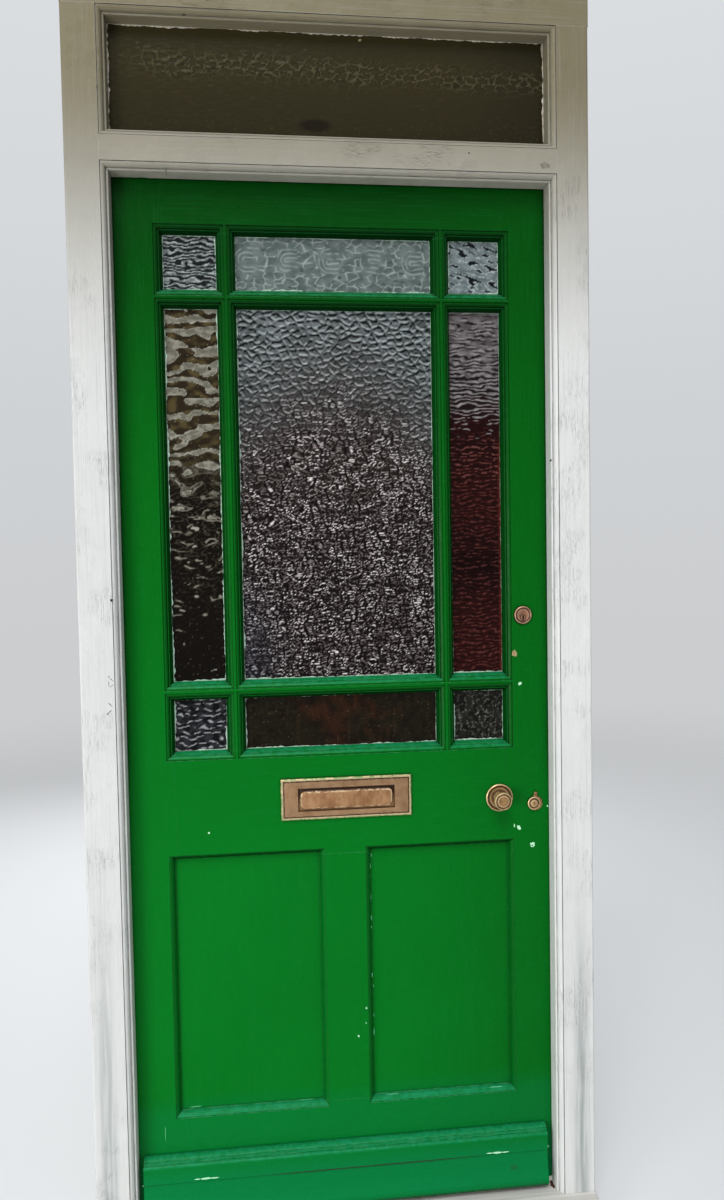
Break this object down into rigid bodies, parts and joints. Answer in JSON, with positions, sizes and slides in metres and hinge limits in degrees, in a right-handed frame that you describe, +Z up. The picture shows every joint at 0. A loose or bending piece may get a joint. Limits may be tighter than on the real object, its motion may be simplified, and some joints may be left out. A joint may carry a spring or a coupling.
{
  "type": "panelled front door",
  "caption": "Green panelled and part-glazed front door with small obscured panes, brass letter plate, knob and night latch, hung in a white frame with a fanlight.",
  "frame": {"origin": "middle of the threshold sill's underside, in line with the leaf's outer face", "axes": "+X to the right as seen from outside, +Y inwards through the door, +Z up"},
  "size_m": [0.968, 0.166, 2.3704],
  "materials": {
    "door_paint": "old gloss green paint on timber, chipped to pale wood at a few edges",
    "frame_paint": "thick off-white gloss paint on timber, brushed and uneven",
    "sill_wood": "worn pale paint on timber",
    "obscure_glass": "old obscured glass with rippled, hammered and mottled faces",
    "aged_brass": "worn brass, brown in its recesses",
    "bolt_brass": "plain drawn brass",
    "lock_case_paint": "black japanned iron",
    "hinge_steel": "dull steel",
    "fixing_steel": "plain steel"
  },
  "bodies": {
    "frame": {"threshold_sill": "sill_wood", "left_jamb": "frame_paint", "right_jamb": "frame_paint", "frame_head": "frame_paint", "transom_rail": "frame_paint", "left_door_stop": "frame_paint", "right_door_stop": "frame_paint", "head_door_stop": "frame_paint", "fanlight_stops": "frame_paint", "fanlight_glass": "obscure_glass", "fanlight_beads": "frame_paint", "top_hinge_frame_leaf": "hinge_steel", "bottom_hinge_frame_leaf": "hinge_steel", "hinge_pins": "hinge_steel", "frame_screws": "fixing_steel", "rim_lock_keep": "lock_case_paint", "night_latch_keep": "lock_case_paint"},
    "leaf": {"hinge_stile": "door_paint", "lock_stile": "door_paint", "top_rail": "door_paint", "lock_rail": "door_paint", "bottom_rail": "door_paint", "muntin": "door_paint", "left_panel": "door_paint", "right_panel": "door_paint", "left_upright_bar": "door_paint", "right_upright_bar": "door_paint", "upper_cross_bar": "door_paint", "lower_cross_bar": "door_paint", "glazing_beads": "door_paint", "weatherboard": "door_paint", "kick_board": "door_paint", "top_hinge_door_leaf": "hinge_steel", "bottom_hinge_door_leaf": "hinge_steel", "leaf_fixings": "fixing_steel", "letter_plate": "aged_brass", "flap_spring": "fixing_steel", "knob_rose": "aged_brass", "keyhole_plate": "aged_brass", "cylinder_body": "aged_brass", "rim_lock_case": "lock_case_paint", "night_latch_case": "lock_case_paint", "pane_top_left": "obscure_glass", "pane_top_centre": "obscure_glass", "pane_top_right": "obscure_glass", "pane_middle_left": "obscure_glass", "pane_middle_centre": "obscure_glass", "pane_middle_right": "obscure_glass", "pane_bottom_left": "obscure_glass", "pane_bottom_centre": "obscure_glass", "pane_bottom_right": "obscure_glass"},
    "letter_flap": {"letter_flap": "aged_brass"},
    "knob": {"outer_knob": "aged_brass", "inner_knob": "aged_brass"},
    "latch_bolt": {"lock_latch_bolt": "bolt_brass"},
    "dead_bolt": {"lock_dead_bolt": "bolt_brass"},
    "keyhole_cover": {"keyhole_cover": "aged_brass"},
    "cylinder_plug": {"cylinder_plug": "aged_brass"},
    "night_knob": {"night_latch_knob": "aged_brass"},
    "night_bolt": {"night_latch_bolt": "bolt_brass"}
  },
  "joints": [
    {"name": "door_swing", "type": "hinge", "parent": "frame", "child": "leaf", "pos_m": [-0.4205, 0.0505, 1], "axis": [0, 0, 1], "range_deg": [0, 100]},
    {"name": "letter_flap_swing", "type": "hinge", "parent": "leaf", "child": "letter_flap", "pos_m": [0.0045, 0.0042, 0.8778], "axis": [1, 0, 0], "range_deg": [0, 75], "stiffness_Nm_per_rad": 0.08, "springref_deg": -34.38},
    {"name": "knob_turn", "type": "hinge", "parent": "leaf", "child": "knob", "pos_m": [0.3077, 0, 0.8403], "axis": [0, 1, 0], "range_deg": [0, 45]},
    {"name": "latch_slide", "type": "slide", "parent": "leaf", "child": "latch_bolt", "axis": [1, 0, 0], "range_m": [0, 0.012]},
    {"name": "dead_bolt_slide", "type": "slide", "parent": "leaf", "child": "dead_bolt", "axis": [1, 0, 0], "range_m": [0, 0.014]},
    {"name": "keyhole_cover_swing", "type": "hinge", "parent": "leaf", "child": "keyhole_cover", "pos_m": [0.381, -0.004, 0.8458], "axis": [0, 1, 0], "range_deg": [-50, 90]},
    {"name": "cylinder_turn", "type": "hinge", "parent": "leaf", "child": "cylinder_plug", "pos_m": [0.359, 0, 1.1958], "axis": [0, 1, 0], "range_deg": [0, 90]},
    {"name": "night_knob_turn", "type": "hinge", "parent": "leaf", "child": "night_knob", "pos_m": [0.372, 0.08, 1.2008], "axis": [0, 1, 0], "range_deg": [0, 60]},
    {"name": "night_bolt_slide", "type": "slide", "parent": "leaf", "child": "night_bolt", "axis": [1, 0, 0], "range_m": [0, 0.013]}
  ],
  "couplings": [
    {"joint": "latch_slide", "follows": "knob_turn", "m_per_rad": 0.01527},
    {"joint": "night_bolt_slide", "follows": "night_knob_turn", "m_per_rad": 0.0124}
  ]
}
